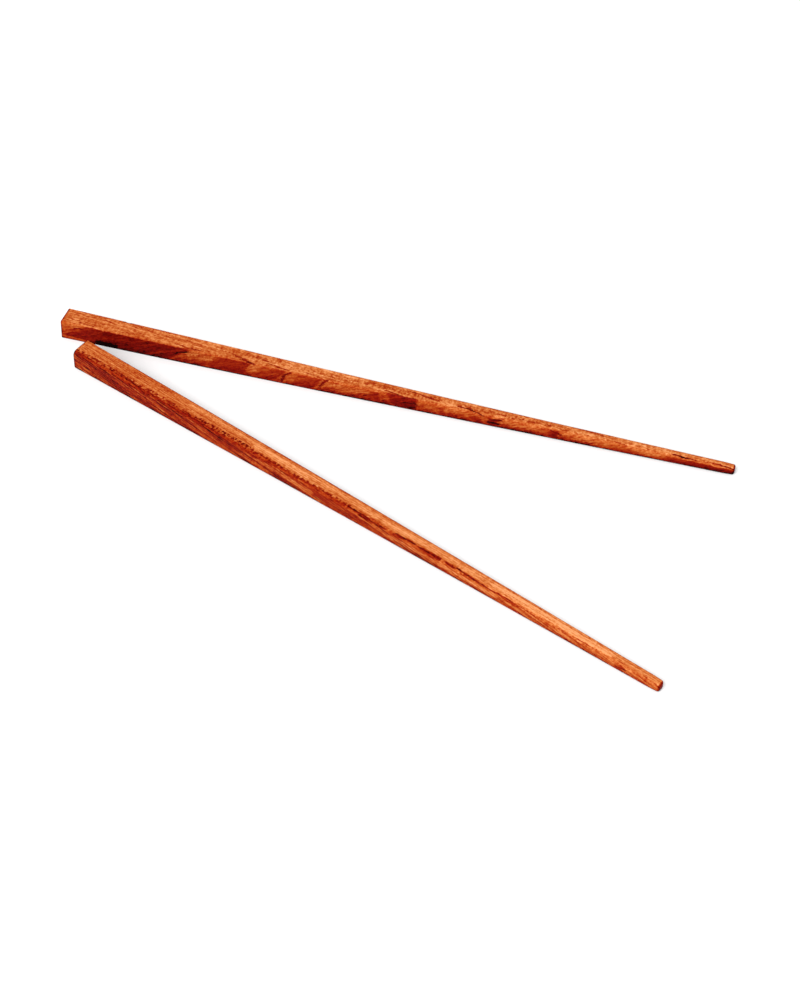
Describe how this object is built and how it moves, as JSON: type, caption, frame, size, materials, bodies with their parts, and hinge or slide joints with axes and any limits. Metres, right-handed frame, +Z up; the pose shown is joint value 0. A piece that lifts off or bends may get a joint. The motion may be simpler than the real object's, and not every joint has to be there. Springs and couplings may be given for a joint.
{
  "type": "pair of wooden chopsticks",
  "caption": "Pair of hardwood chopsticks lying open in a narrow V, square at the held end and tapering to nearly round tips.",
  "frame": {"origin": "on the table, in the middle of the outline of the pair as it lies", "axes": "+X runs from the heads towards the tips along the pair's longest extent, +Y points away from the viewer, +Z is up from the table"},
  "size_m": [0.2304, 0.1688, 0.0076],
  "materials": {
    "hardwood": "oiled satin, fine straight pores, dark figure streaks"
  },
  "bodies": {
    "root": {"far_chopstick": "hardwood", "near_chopstick": "hardwood"}
  },
  "joints": []
}
